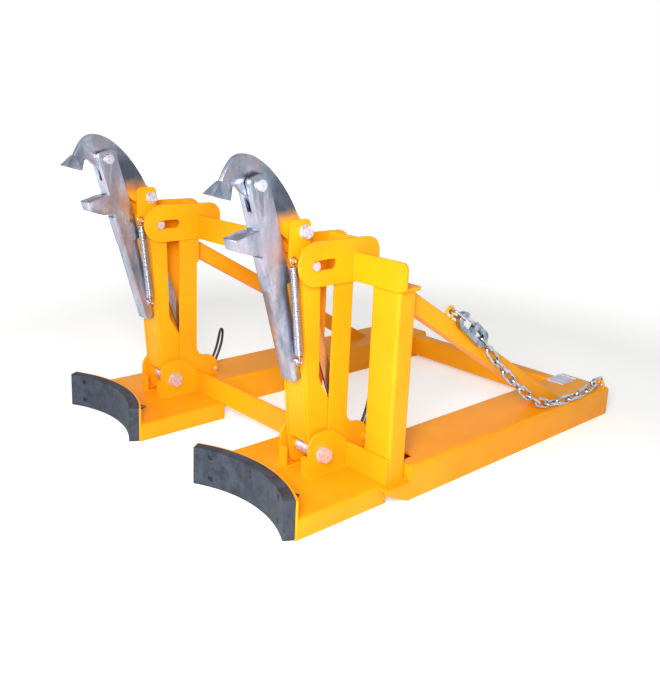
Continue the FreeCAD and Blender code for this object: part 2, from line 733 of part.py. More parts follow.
def post_cap():
    half = post_width / 2 + cap_overhang
    y0 = beam_rear_y
    return plate_z([(post_x - half, y0, 0), (post_x + half, y0, 0), (post_x + half, y0 + post_depth + cap_overhang, 6),
                    (post_x - half, y0 + post_depth + cap_overhang, 6)], post_top_z, post_top_z + cap_thick)


def foot_plate():
    """Plate under the post, from the outer lobe across to the nose of the channel."""
    x0 = grab_spacing / 2 + cheek_in
    x1 = near_channel_x + channel_width / 2
    tray_edge = grab_spacing / 2 + tray_width / 2
    pts = [(x0, beam_rear_y, 0), (tray_edge, beam_rear_y, 0), (tray_edge, nose_front_y, 0), (x1, nose_front_y, 0),
           (x1, post_rear_y + fit_gap, 0), (x0, post_rear_y + fit_gap, 0)]
    return plate_z(pts, tray_height - plate, tray_height)


def brace(centre_x, top_y, top_z, foot_y):
    """Square tube cut upright at its top end and level at its foot."""
    slope = math.atan2(top_z - channel_height, foot_y - top_y)
    length = math.hypot(top_z - channel_height, foot_y - top_y) + 3 * brace_size
    tube = rect_tube(brace_size, brace_size, length, brace_wall, 5)
    tube.translate(V(0, -1.5 * brace_size, -brace_size / 2))
    tube.rotate(V(0, 0, 0), V(1, 0, 0), -math.degrees(slope))
    tube.translate(V(centre_x, top_y, top_z))
    tube = tube.cut(box(centre_x - 100, centre_x + 100, top_y - 400, top_y, 0, 900))
    return tube.cut(box(centre_x - 100, centre_x + 100, top_y - 400, foot_y + 400, -400, channel_height))


def far_brace_plate():
    x = -grab_spacing / 2
    return box(x - cheek_in, x + cheek_in, upright_rear_y, upright_rear_y + plate, far_brace_plate_low_z,
               head_bottom_z)


def hook_point(along, across):
    """Point on the hook in its own plane: along runs down to the rear, across is upwards."""
    a = math.radians(hook_tilt)
    return (hook_y + along * math.cos(a) + across * math.sin(a),
            hook_z - along * math.sin(a) + across * math.cos(a))


def hook_plate(points, x0, x1):
    return plate_x([(*hook_point(along, across), r) for along, across, r in points], x0, x1)


def link(centre, along, side, inner_length, width, wire):
    """Chain link: two straight sides and two round ends, in the plane of the two directions."""
    along = V(along).normalize()
    side = (side - along * side.dot(along)).normalize()
    r = (width - wire) / 2
    reach = inner_length / 2 + wire / 2 - r
    normal = along.cross(side)
    parts = []
    for s in (1, -1):
        end = centre + along * s * reach
        ring = Part.makeTorus(r, wire / 2, V(0, 0, 0), V(0, 0, 1), -180, 180, 180)
        place = FreeCAD.Placement(end, FreeCAD.Rotation(side * s * -1, along * s, normal, "ZXY"))
        ring.Placement = place
        parts.append(ring)
        parts.append(Part.makeCylinder(wire / 2, 2 * reach, centre - along * reach + side * s * r, along))
    return parts[0].fuse(parts[1:]).removeSplitter()


def chain_path():
    """Middle of the chain, from the hook's centre down to the channel and along its top."""
    return [V(hook_x, hook_y, hook_z), V(hook_x, 449, 303), V(hook_x + 4, 502, 245), V(hook_x + 8, 574, 182),
            V(hook_x + 11, 654, 124), V(chain_x - 1, 699, 101), V(chain_x + 4, 745, chain_low_z + 1),
            V(chain_x + 8, 800, chain_low_z), V(chain_x + 9, 860, chain_low_z), V(chain_x + 7, 908, chain_low_z),
            V(chain_x, 955, chain_low_z + eye_leg), V(chain_x, 2000, chain_low_z + eye_leg)]


def along_path(distance):
    route = chain_path()
    for p, q in zip(route[:-1], route[1:]):
        run = (q - p).Length
        if distance <= run:
            return p + (q - p) * (distance / run)
        distance -= run


def link_ends(k):
    start = hook_slot_s - hook_play + k * link_pitch
    return along_path(start), along_path(start + link_pitch)


def chain_links():
    solids = []
    for k in range(link_count):
        p, q = link_ends(k)
        across = V(1, 0, 0)
        side = across if k % 2 == 0 else across.cross(q - p)
        solids.append(link((p + q) * 0.5, q - p, side, link_pitch + link_play, link_width, link_wire))
    return solids


def long_link():
    """Link between the eye on the brace and the hook's mouth."""
    y, z = brace_eye_hole()
    start = V(brace_eye_x(), y, z)
    end = V(hook_x, *hook_point(hook_mouth_s - hook_mouth_d / 2 + link_wire / 2 + long_link_play, 0))
    axis = end - start
    return link((start + end) * 0.5, axis, V(1, 0, 0), axis.Length - link_wire, long_link_width, link_wire)


def hook():
    """Snap hook: a mouth for the long link, closed by the latch, and a slot for the chain."""
    half = hook_length / 2
    w = hook_width / 2
    x0 = hook_x - hook_thick / 2
    x1 = hook_x + hook_thick / 2
    body = hook_plate([(-half, -w, w * 0.98), (-half, w, w * 0.98), (half, w, w * 0.98), (half, -w, w * 0.98)], x0, x1)
    my, mz = hook_point(hook_mouth_s, 0)
    body = body.cut(cyl_x(x0 - 1, x1 + 1, my, mz, hook_mouth_d))
    throat = latch_pivot_s - latch_width
    body = body.cut(hook_plate([(hook_mouth_s, -hook_mouth_d / 2, 0), (throat, -hook_mouth_d / 2, 0),
                                (throat, hook_width, 0), (hook_mouth_s, hook_width, 0)], x0 - 1, x1 + 1))
    sw = hook_slot_width / 2
    body = body.cut(hook_plate([(hook_slot_s - hook_slot_length, -sw, sw * 0.98), (hook_slot_s, -sw, sw * 0.98),
                                (hook_slot_s, sw, sw * 0.98), (hook_slot_s - hook_slot_length, sw, sw * 0.98)],
                               x0 - 1, x1 + 1))
    pocket = latch_thick / 2 + latch_gap
    reach = latch_width / 2 + latch_gap
    tip = hook_mouth_s - latch_lap - 2 * latch_gap
    body = body.cut(hook_plate([(tip, latch_pivot_t - 2 * reach, 0),
                                (latch_pivot_s + reach, latch_pivot_t - 2 * reach, 0),
                                (latch_pivot_s + reach, hook_width, 0), (tip, hook_width, 0)],
                               hook_x - pocket, hook_x + pocket))
    py, pz = hook_point(latch_pivot_s, latch_pivot_t)
    return body.fuse(cyl_x(x0, x1, py, pz, latch_pin_d)).removeSplitter()


def hook_latch():
    half = latch_width / 2
    r = half * 0.98
    tip = hook_mouth_s - latch_lap
    bar = hook_plate([(tip, latch_pivot_t - half, 2), (latch_pivot_s + half, latch_pivot_t - half, r),
                      (latch_pivot_s + half, latch_pivot_t + half, r), (tip, latch_pivot_t + half, 2)],
                     hook_x - latch_thick / 2, hook_x + latch_thick / 2)
    y, z = hook_point(latch_pivot_s, latch_pivot_t)
    return bar.cut(cyl_x(hook_x - 20, hook_x + 20, y, z, latch_pin_d + 2 * pin_clear))


def brace_slope():
    return math.atan2(post_top_z - channel_height, brace_foot_near_y - post_rear_y)


def brace_eye_foot():
    return post_top_z - (brace_eye_y - post_rear_y) * math.tan(brace_slope())


def brace_eye_x():
    return post_x + brace_size / 2 - eye_wire / 2


def brace_eye_hole():
    """Middle of the long link's wire where it passes under the eye on the brace."""
    rise = eye_leg + eye_radius - eye_wire / 2 - link_wire / 2 - link_play
    return brace_eye_y + rise * math.sin(brace_slope()), brace_eye_foot() + rise * math.cos(brace_slope())


def half_eye(axis, tilt=0.0):
    """Bent wire eye that stands on a face: two legs and half a ring about the axis, then tipped back about X."""
    ring = Part.makeTorus(eye_radius, eye_wire / 2, V(0, 0, 0), axis).cut(box(-50, 50, -50, 50, -100, 0))
    side = axis.cross(V(0, 0, 1)) * eye_radius
    legs = [Part.makeCylinder(eye_wire / 2, eye_leg, side * s, V(0, 0, 1)) for s in (1, -1)]
    eye = ring.translated(V(0, 0, eye_leg)).fuse(legs).removeSplitter()
    eye.rotate(V(0, 0, 0), V(1, 0, 0), -math.degrees(tilt))
    return eye


def chain_eyes():
    """The eye on the brace, and the one at the rear corner of the channel that holds the last link."""
    on_brace = half_eye(V(1, 0, 0), brace_slope()).translated(V(brace_eye_x(), brace_eye_y, brace_eye_foot()))
    last = link_ends(link_count - 1)[1]
    on_channel = half_eye(V(0, 1, 0)).translated(V(chain_x, last.y - eye_wire / 2 - link_play, channel_height))
    return Part.makeCompound([on_brace, on_channel])


tower_parts = {
    "base_tray": base_tray,
    "backing_plate": backing_plate,
    "rubber_pad": rubber_pad,
    "side_plate_inner": inner_side_plate,
    "lug_outer": lambda: lug(1),
    "lug_inner": lambda: lug(-1),
    "head_cheek_outer": lambda: head_cheek(1),
    "head_cheek_inner": lambda: head_cheek(-1),
    "arm": arm,
    "pivot_bolt": pivot_bolt,
    "top_pin": top_pin,
    "beak_bracket": bracket,
    "beak_bolt": beak_bolt,
    "beak": beak,
    "lever": lever,
    "lever_pin": lever_pin,
    "spring": spring_body,
    "stay_bar": stay_bar,
    "clamp_handle": clamp_handle,
}

nodes = {}
towers = {"left_": -grab_spacing / 2, "right_": grab_spacing / 2}
for prefix, x in towers.items():
    for name, make in tower_parts.items():
        nodes[prefix + name] = make().translated(V(x, 0, 0))
for name, make in (("pad_screws", pad_screw_set), ("head_webs", head_web)):
    nodes[name] = Part.makeCompound([s for x in towers.values() for s in make().translated(V(x, 0, 0)).Solids])

nodes["left_side_plate_outer"] = outer_side_plate(channel_height).translated(V(towers["left_"], 0, 0))
nodes["right_side_plate_outer"] = outer_side_plate(lobe_low_z).translated(V(towers["right_"], 0, 0))
nodes["right_channel"] = near_channel()
nodes["left_channel"] = far_channel()
nodes["pocket_straps"] = straps()
nodes["rear_beam"] = rear_beam()
nodes["upper_beams"] = upper_beams()
nodes["lower_beams"] = lower_beams()
nodes["post"] = post()
nodes["post_cap"] = post_cap()
nodes["post_foot_plate"] = foot_plate()
nodes["right_brace"] = brace(post_x, post_rear_y, post_top_z, brace_foot_near_y)
nodes["left_brace"] = brace(towers["left_"], upright_rear_y + plate, far_brace_top_z, brace_foot_far_y)
nodes["left_brace_plate"] = far_brace_plate()
nodes["chain_eyes"] = chain_eyes()
nodes["chain_links"] = Part.makeCompound(chain_links() + [long_link()])
nodes["hook"] = hook()
nodes["hook_latch"] = hook_latch()

# The row's origin is on the floor under the middle of everything.
boxes = [shape.optimalBoundingBox(False, False) for shape in nodes.values()]
mid_x = (min(b.XMin for b in boxes) + max(b.XMax for b in boxes)) / 2
mid_y = (min(b.YMin for b in boxes) + max(b.YMax for b in boxes)) / 2
print("origin", round(mid_x, 4), round(mid_y, 4), "slot degrees", round(slot_angle, 3), "nodes", len(nodes))

for name, shape in nodes.items():
    placed = shape.translated(V(-mid_x, -mid_y, 0))
    placed.exportStep("parts/" + name + ".step")
    print(name, len(placed.Solids), round(placed.Volume / 1000, 1), placed.isValid())
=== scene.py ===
import json
import math

import bpy
import numpy as np
from mathutils import Matrix, Vector


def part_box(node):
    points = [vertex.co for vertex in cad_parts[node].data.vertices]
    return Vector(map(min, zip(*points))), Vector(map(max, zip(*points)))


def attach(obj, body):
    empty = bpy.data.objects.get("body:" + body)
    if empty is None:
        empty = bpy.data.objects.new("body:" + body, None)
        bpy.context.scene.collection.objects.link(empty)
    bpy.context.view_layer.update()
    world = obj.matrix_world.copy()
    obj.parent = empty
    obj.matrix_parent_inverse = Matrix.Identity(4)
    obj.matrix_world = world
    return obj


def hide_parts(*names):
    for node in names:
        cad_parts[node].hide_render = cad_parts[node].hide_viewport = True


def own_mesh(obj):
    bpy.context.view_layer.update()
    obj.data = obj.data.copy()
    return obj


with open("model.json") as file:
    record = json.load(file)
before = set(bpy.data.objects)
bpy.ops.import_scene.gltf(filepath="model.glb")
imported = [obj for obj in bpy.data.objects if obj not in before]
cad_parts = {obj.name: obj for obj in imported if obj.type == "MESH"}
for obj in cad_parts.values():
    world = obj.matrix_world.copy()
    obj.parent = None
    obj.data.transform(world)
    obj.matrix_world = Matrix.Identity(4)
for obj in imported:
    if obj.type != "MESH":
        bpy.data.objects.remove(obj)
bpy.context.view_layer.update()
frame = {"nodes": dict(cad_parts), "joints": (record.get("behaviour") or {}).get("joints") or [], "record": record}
nodes = frame["nodes"]
print("frame loaded:", len(nodes), "nodes")

mm = 0.001
mergeWithin = 0.02 * mm
towers = ("left", "right")


def onlySelect(*objects):
    if bpy.context.object and bpy.context.object.mode != "OBJECT":
        bpy.ops.object.mode_set(mode="OBJECT")
    bpy.ops.object.select_all(action="DESELECT")
    for thing in objects:
        thing.select_set(True)
    if objects:
        bpy.context.view_layer.objects.active = objects[0]


def settle(piece, name):
    # a finished piece sits at the origin with its place in its mesh
    onlySelect(piece)
    bpy.ops.object.transform_apply(location=True, rotation=True, scale=True)
    piece.name = name
    piece.data.name = name
    return piece


def applyAll(piece):
    onlySelect(piece)
    for modifier in list(piece.modifiers):
        bpy.ops.object.modifier_apply(modifier=modifier.name)


def pickVertices(piece, wanted):
    # leaves edit mode on, with only the wanted points selected
    onlySelect(piece)
    bpy.ops.object.mode_set(mode="EDIT")
    bpy.ops.mesh.select_mode(type="VERT")
    bpy.ops.mesh.select_all(action="DESELECT")
    bpy.ops.object.mode_set(mode="OBJECT")
    for vertex in piece.data.vertices:
        vertex.select = bool(wanted(vertex.co))
    bpy.ops.object.mode_set(mode="EDIT")


def joined(pieces, name):
    onlySelect(*pieces)
    if len(pieces) > 1:
        bpy.ops.object.join()
    return settle(bpy.context.object, name)


def smoothBy(piece, degrees=35):
    onlySelect(piece)
    bpy.ops.object.shade_smooth_by_angle(angle=math.radians(degrees))


def linear(hexColour):
    values = [int(hexColour[i:i + 2], 16) / 255 for i in (1, 3, 5)]
    return tuple(v / 12.92 if v <= 0.04045 else ((v + 0.055) / 1.055) ** 2.4 for v in values) + (1.0,)


def addNode(tree, kind, settings=None, links=None):
    # one node, its settings, and the sockets it takes its inputs from
    node = tree.nodes.new(kind)
    for key, value in (settings or {}).items():
        if isinstance(key, int) or key in node.inputs:
            node.inputs[key].default_value = value
        else:
            setattr(node, key, value)
    for key, source in (links or {}).items():
        tree.links.new(source, node.inputs[key])
    return node


def newMaterial(name, shaderSettings):
    material = bpy.data.materials.new(name)
    material.use_nodes = True
    tree = material.node_tree
    shader = tree.nodes["Principled BSDF"]
    for key, value in shaderSettings.items():
        shader.inputs[key].default_value = value
    place = addNode(tree, "ShaderNodeTexCoord").outputs["Object"]
    return material, tree, shader, place


def blendColours(tree, factor, first, second):
    mix = addNode(tree, "ShaderNodeMix", {"data_type": "RGBA"})
    tree.links.new(factor, mix.inputs[0])
    for socket, value in ((mix.inputs[6], first), (mix.inputs[7], second)):
        if isinstance(value, tuple):
            socket.default_value = value
        else:
            tree.links.new(value, socket)
    return mix.outputs[2]


def stepRange(tree, source, low, high, outLow=0.0, outHigh=1.0):
    return addNode(tree, "ShaderNodeMapRange",
                   {"From Min": low, "From Max": high, "To Min": outLow, "To Max": outHigh},
                   {"Value": source}).outputs["Result"]


def noiseAt(tree, place, scale, detail, roughness=0.5):
    return addNode(tree, "ShaderNodeTexNoise", {"Scale": scale, "Detail": detail, "Roughness": roughness},
                   {"Vector": place}).outputs["Fac"]


def addRelief(tree, shader, height, strength, depthMm, edgeMm):
    # fine bumps over arrises that are shaded round
    edge = addNode(tree, "ShaderNodeBevel", {"samples": 4, "Radius": edgeMm * mm})
    bump = addNode(tree, "ShaderNodeBump", {"Strength": strength, "Distance": depthMm * mm},
                   {"Height": height, "Normal": edge.outputs["Normal"]})
    tree.links.new(bump.outputs["Normal"], shader.inputs["Normal"])


paintLook = {
    "base": "#FFAA10", "thin": "#FC9E0B", "grime": "#7A4A10",
    "peelMm": 1.8, "cloudMm": 140, "grimeMm": 30, "grimeMost": 0.22, "roughLow": 0.36, "roughHigh": 0.5,
    "bumps": {"strength": 0.25, "depthMm": 0.06, "edgeMm": 1.6},
}


def makePaint():
    # polyester powder coat on steel: a saturated yellow-orange with a fine orange-peel skin
    material, tree, shader, place = newMaterial("yellowPowderCoat",
                                                {"IOR": 1.5, "Specular IOR Level": 0.22})
    cloud = noiseAt(tree, place, 1000 / paintLook["cloudMm"], 3.0)
    tint = stepRange(tree, cloud, 0.35, 0.7)
    base = blendColours(tree, tint, linear(paintLook["base"]), linear(paintLook["thin"]))
    dirt = noiseAt(tree, place, 1000 / paintLook["grimeMm"], 6.0, 0.7)
    dirtMask = stepRange(tree, dirt, 0.68, 0.9, 0.0, paintLook["grimeMost"])
    colour = blendColours(tree, dirtMask, base, linear(paintLook["grime"]))
    tree.links.new(colour, shader.inputs["Base Color"])
    tree.links.new(stepRange(tree, dirt, 0.3, 0.8, paintLook["roughLow"], paintLook["roughHigh"]),
                   shader.inputs["Roughness"])
    peel = noiseAt(tree, place, 1000 / paintLook["peelMm"], 1.0)
    addRelief(tree, shader, peel, **paintLook["bumps"])
    return material


galvanisedLook = {
    "light": "#CCD6E4", "dark": "#7C8AA0", "warm": "#C6B5C3", "warmMost": 0.7,
    "spangleMm": 6, "spangleMost": 0.4, "streakMm": 26, "streakSquash": 0.22, "cloudScale": 14.0,
    "roughLow": 0.24, "roughHigh": 0.42, "bumps": {"strength": 0.5, "depthMm": 0.5, "edgeMm": 1.4},
}
oversprayLook = {
    # heights in metres where the yellow begins and where it covers, and how ragged that edge is
    "start": 0.655, "end": 0.62, "ragged": 0.05,
    # the dark grey band on the flank: its heights, and how far back it begins, in metres
    "darkBand": "#46505F", "darkBandMost": 0.8,
    "darkBandStart": 0.745, "darkBandEnd": 0.69, "darkBandFront": -0.53, "darkBandRear": -0.49,
}


def makeGalvanised(name, sprayed):
    # hot-dip galvanised steel: bluish silver, soft streaks of run zinc and faint crystals
    material, tree, shader, place = newMaterial(name, {"Metallic": 1.0})
    look = galvanisedLook
    crystals = addNode(tree, "ShaderNodeTexVoronoi", {"Scale": 1000 / look["spangleMm"], "Randomness": 1.0},
                       {"Vector": place})
    split = addNode(tree, "ShaderNodeSeparateColor", links={"Color": crystals.outputs["Color"]})
    stretched = addNode(tree, "ShaderNodeMapping", {"Scale": (1.0, 1.0, look["streakSquash"])},
                        {"Vector": place}).outputs["Vector"]
    streak = noiseAt(tree, stretched, 1000 / look["streakMm"], 5.0, 0.6)
    cloud = noiseAt(tree, place, look["cloudScale"], 3.0)
    base = blendColours(tree, stepRange(tree, streak, 0.36, 0.68), linear(look["light"]),
                        linear(look["dark"]))
    spangle = stepRange(tree, split.outputs["Red"], 0.0, 1.0, 0.0, look["spangleMost"])
    base = blendColours(tree, spangle, base, linear(look["dark"]))
    warmth = stepRange(tree, cloud, 0.42, 0.66, 0.0, look["warmMost"])
    colour = blendColours(tree, warmth, base, linear(look["warm"]))
    rough = stepRange(tree, streak, 0.3, 0.7, look["roughLow"], look["roughHigh"])
    if sprayed:
        # the flank behind the pin turns dark grey in a band above the foot, and a mist of the bracket's yellow
        # covers the foot
        over = oversprayLook
        apart = addNode(tree, "ShaderNodeSeparateXYZ", links={"Vector": place})
        height = apart.outputs["Z"]
        wobble = addNode(tree, "ShaderNodeMath", {"operation": "MULTIPLY_ADD", 1: over["ragged"]},
                         {0: cloud, 2: height}).outputs[0]
        darkBand = stepRange(tree, wobble, over["darkBandStart"], over["darkBandEnd"], 0.0, over["darkBandMost"])
        behind = stepRange(tree, apart.outputs["Y"], over["darkBandFront"], over["darkBandRear"])
        darkBand = addNode(tree, "ShaderNodeMath", {"operation": "MULTIPLY"}, {0: darkBand, 1: behind}).outputs[0]
        colour = blendColours(tree, darkBand, colour, linear(over["darkBand"]))
        mist = stepRange(tree, wobble, over["start"], over["end"])
        colour = blendColours(tree, mist, colour, linear(paintLook["base"]))
        tree.links.new(stepRange(tree, mist, 0.0, 1.0, 1.0, 0.0), shader.inputs["Metallic"])
    tree.links.new(colour, shader.inputs["Base Color"])
    tree.links.new(rough, shader.inputs["Roughness"])
    addRelief(tree, shader, streak, **look["bumps"])
    return material


zincLooks = {
    "brightZinc": {"light": "#DEDDE8", "dark": "#B4B5C4", "roughLow": 0.34, "roughHigh": 0.5, "grainMm": 6,
                   "metallic": 0.55},
    "platedSpringWire": {"light": "#D3D4DA", "dark": "#A3A5AE", "roughLow": 0.2, "roughHigh": 0.34,
                         "grainMm": 3},
    "tumbledZinc": {"light": "#D0D4DC", "dark": "#9EA5B1", "roughLow": 0.14, "roughHigh": 0.26,
                    "grainMm": 12},
    "forgedZinc": {"light": "#B4BFCF", "dark": "#74808F", "roughLow": 0.18, "roughHigh": 0.34,
                   "grainMm": 14},
    # the pad screws are given a dark grey, darker than the other bolts
    "darkScrewZinc": {"light": "#5B626E", "dark": "#3A404A", "roughLow": 0.35, "roughHigh": 0.5,
                   "grainMm": 3},
}
zincBumps = {"strength": 0.2, "depthMm": 0.05, "edgeMm": 0.8}


def makeZinc(name):
    # plating on bolts, chain and springs: cool grey, fine mottling, a soft shine
    look = zincLooks[name]
    material, tree, shader, place = newMaterial(name, {"Metallic": look.get("metallic", 1.0)})
    grain = noiseAt(tree, place, 1000 / look["grainMm"], 4.0)
    mottle = stepRange(tree, grain, 0.35, 0.7)
    colour = blendColours(tree, mottle, linear(look["light"]), linear(look["dark"]))
    rough = stepRange(tree, grain, 0.3, 0.7, look["roughLow"], look["roughHigh"])
    tree.links.new(colour, shader.inputs["Base Color"])
    tree.links.new(rough, shader.inputs["Roughness"])
    addRelief(tree, shader, grain, **zincBumps)
    return material


rubberLook = {
    "base": "#1E242F", "worn": "#465060", "grainMm": 1.2, "bloomMm": 26, "roughLow": 0.62, "roughHigh": 0.8,
    "bumps": {"strength": 0.35, "depthMm": 0.15, "edgeMm": 1.2},
}


def makeRubber():
    # moulded rubber sheet: dark slate with a pale bloom and a faint leathery grain
    material, tree, shader, place = newMaterial("mouldedRubber", {"IOR": 1.52})
    look = rubberLook
    bloom = noiseAt(tree, place, 1000 / look["bloomMm"], 8.0, 0.72)
    pale = stepRange(tree, bloom, 0.38, 0.72)
    colour = blendColours(tree, pale, linear(look["base"]), linear(look["worn"]))
    rough = stepRange(tree, bloom, 0.3, 0.7, look["roughLow"], look["roughHigh"])
    tree.links.new(colour, shader.inputs["Base Color"])
    tree.links.new(rough, shader.inputs["Roughness"])
    grain = noiseAt(tree, place, 1000 / look["grainMm"], 2.0)
    addRelief(tree, shader, grain, **look["bumps"])
    return material


nylonLook = {"base": "#0B0B0D", "worn": "#1B1B1F", "grainScale": 700.0, "grainDepthMm": 0.05,
             "roughness": 0.24}


def makeHandlePlastic():
    # glass-filled nylon: near black, smooth and glossy on the crowns
    look = nylonLook
    material, tree, shader, place = newMaterial("blackNylon", {"Roughness": look["roughness"], "IOR": 1.53})
    speck = noiseAt(tree, place, look["grainScale"], 2.0)
    worn = stepRange(tree, speck, 0.4, 0.7)
    colour = blendColours(tree, worn, linear(look["base"]), linear(look["worn"]))
    tree.links.new(colour, shader.inputs["Base Color"])
    bump = addNode(tree, "ShaderNodeBump", {"Strength": 0.15, "Distance": look["grainDepthMm"] * mm},
                   {"Height": speck})
    tree.links.new(bump.outputs["Normal"], shader.inputs["Normal"])
    return material


filmLook = {"light": "#D6D8EC", "dark": "#C4C8DF", "toneScale": 60.0, "roughness": 0.5}


def makeLabelFilm():
    # matt vinyl film, pale and slightly lilac
    look = filmLook
    material, tree, shader, place = newMaterial("vinylFilm", {"Roughness": look["roughness"]})
    tone = noiseAt(tree, place, look["toneScale"], 3.0)
    shade = stepRange(tree, tone, 0.35, 0.7)
    colour = blendColours(tree, shade, linear(look["light"]), linear(look["dark"]))
    tree.links.new(colour, shader.inputs["Base Color"])
    return material


finishes = {
    "yellow_paint": makePaint(),
    "galvanised": makeGalvanised("hotDipGalvanised", False),
    "zinc": makeZinc("brightZinc"),
    "spring_steel": makeZinc("platedSpringWire"),
    "rubber": makeRubber(),
    "black_handle": makeHandlePlastic(),
}
labelFilm = makeLabelFilm()
chainZinc = makeZinc("tumbledZinc")
forgedZinc = makeZinc("forgedZinc")
darkScrews = makeZinc("darkScrewZinc")
sprayedGalvanised = makeGalvanised("galvanisedWithOverspray", True)
print("materials made:", len(bpy.data.materials))

slotOf = {part["node"]: part["material_slot"] for part in frame["record"]["subparts"]}
for nodeName, node in nodes.items():
    node.data.materials.clear()
    node.data.materials.append(darkScrews if nodeName == "pad_screws" else finishes[slotOf[nodeName]])


def dress(piece, slot, body, *replaced, finish=None):
    piece.data.materials.clear()
    piece.data.materials.append(finish or finishes[slot])
    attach(piece, body)
    if replaced:
        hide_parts(*replaced)


springLook = {
    "coilDiameter": 18.4, "wire": 2.9, "turns": 56, "eyeDiameter": 13.0, "loop": 15.0,
    "wireSides": 8, "turnSteps": 18, "loopSteps": 32, "legSides": 10,
    # both ends in millimetres, before the spring is centred in its packed box
    "topY": -31.0, "topZ": 521.0, "lowY": -6.0, "lowZ": 316.0,
    # share of its length that is left when the beak is fully up
    "closed": 0.911,
}


def makeSpring(side):
    # one profile circle wound up by a Screw modifier, with a round eye at each end
    look = springLook
    low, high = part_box(side + "_spring")
    centreX = (low.x + high.x) / 2
    eye = look["eyeDiameter"] * mm
    wire = look["wire"] * mm
    shiftY = (low.y + high.y) / 2 - (look["topY"] + look["lowY"]) / 2 * mm
    top = Vector((centreX, look["topY"] * mm + shiftY, look["topZ"] * mm))
    bottom = Vector((centreX, look["lowY"] * mm + shiftY, look["lowZ"] * mm))
    axis = (bottom - top).normalized()
    length = (bottom - top).length - eye
    radius = (look["coilDiameter"] - look["wire"]) / 2 * mm
    bpy.ops.object.select_all(action="DESELECT")
    bpy.ops.mesh.primitive_circle_add(vertices=look["wireSides"], radius=wire / 2, fill_type="NOTHING",
                                      location=(radius, 0, 0), rotation=(math.pi / 2, 0, 0))
    coil = bpy.context.object
    onlySelect(coil)
    bpy.ops.object.transform_apply(location=True, rotation=True, scale=True)
    wind = coil.modifiers.new("wind", "SCREW")
    wind.angle = math.tau
    wind.screw_offset = (length - wire) / look["turns"]
    wind.iterations = look["turns"]
    wind.steps = look["turnSteps"]
    wind.render_steps = look["turnSteps"]
    applyAll(coil)
    turn = Vector((0, 0, 1)).rotation_difference(axis)
    coil.matrix_world = Matrix.Translation(top + axis * (eye / 2 + wire / 2)) @ turn.to_matrix().to_4x4()
    parts = [coil]
    for centre in (top + Vector((0, 0, eye / 2)), bottom - Vector((0, 0, eye / 2))):
        bpy.ops.mesh.primitive_torus_add(major_radius=look["loop"] / 2 * mm, minor_radius=wire / 2,
                                         major_segments=look["loopSteps"], minor_segments=look["wireSides"],
                                         location=centre, rotation=(0, math.pi / 2, 0))
        parts.append(bpy.context.object)
    for start, stop in ((top - axis * wire, top + axis * (eye / 2 + wire)),
                        (bottom + axis * wire, bottom - axis * (eye / 2 + wire))):
        run = stop - start
        bpy.ops.mesh.primitive_cylinder_add(vertices=look["legSides"], radius=wire / 2, depth=run.length,
                                            location=(start + stop) / 2,
                                            rotation=Vector((0, 0, 1)).rotation_difference(run).to_euler())
        parts.append(bpy.context.object)
    spring = joined(parts, side + "SpringCoils")
    smoothBy(spring, 60)
    dress(spring, "spring_steel", side + "_arm", side + "_spring")
    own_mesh(spring)


for side in towers:
    makeSpring(side)
print("springs wound")


roundedLook = {
    "beak": {"width": 2.2, "segments": 3, "angle": 38}, "lever": {"width": 1.3, "segments": 2, "angle": 38},
    "hook": {"width": 3.2, "segments": 4, "angle": 30, "thicker": 1.6},
    "latch": {"width": 0.8, "segments": 2, "angle": 30},
}


def makeRounded(node, name, look, slot, body, finish=None):
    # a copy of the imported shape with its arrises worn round, as on a dipped or moulded piece
    piece = bpy.data.objects.new(name, nodes[node].data.copy())
    bpy.context.scene.collection.objects.link(piece)
    piece.matrix_world = nodes[node].matrix_world.copy()
    onlySelect(piece)
    bpy.ops.object.mode_set(mode="EDIT")
    bpy.ops.mesh.select_all(action="SELECT")
    bpy.ops.mesh.remove_doubles(threshold=mergeWithin)
    bpy.ops.mesh.dissolve_limited(angle_limit=math.radians(1.0))
    low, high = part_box(node)
    bpy.ops.transform.resize(value=(look.get("thicker", 1.0), 1, 1), center_override=(low + high) / 2)
    bpy.ops.object.mode_set(mode="OBJECT")
    worn = piece.modifiers.new("wornEdges", "BEVEL")
    worn.width = look["width"] * mm
    worn.segments = look["segments"]
    worn.limit_method = "ANGLE"
    worn.angle_limit = math.radians(look["angle"])
    applyAll(piece)
    settle(piece, name)
    smoothBy(piece, 40)
    dress(piece, slot, body, node, finish=finish)


for side in towers:
    makeRounded(side + "_beak", side + "WornBeak", roundedLook["beak"], "galvanised", side + "_beak",
                finish=sprayedGalvanised)
    makeRounded(side + "_lever", side + "WornLever", roundedLook["lever"], "galvanised", side + "_lever")
makeRounded("hook", "forgedHook", roundedLook["hook"], "zinc", "frame", finish=forgedZinc)
makeRounded("hook_latch", "pressedLatch", roundedLook["latch"], "zinc", "hook_latch")
print("beaks, levers, hook and latch rounded")


chainLook = {"wire": 7.4, "packedWire": 6.0, "wider": 2.0, "longFrom": 30.0, "longWire": 6.2, "bend": 28,
             "round": 14}


def islandsOf(node):
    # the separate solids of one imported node, as lists of points
    piece = bpy.data.objects.new("chainGuide", nodes[node].data.copy())
    bpy.context.scene.collection.objects.link(piece)
    onlySelect(piece)
    bpy.ops.object.mode_set(mode="EDIT")
    bpy.ops.mesh.select_all(action="SELECT")
    bpy.ops.mesh.remove_doubles(threshold=mergeWithin)
    bpy.ops.mesh.separate(type="LOOSE")
    bpy.ops.object.mode_set(mode="OBJECT")
    guides = list(bpy.context.selected_objects)
    found = [np.array([v.co[:] for v in guide.data.vertices]) for guide in guides]
    onlySelect(*guides)
    bpy.ops.object.delete()
    return found


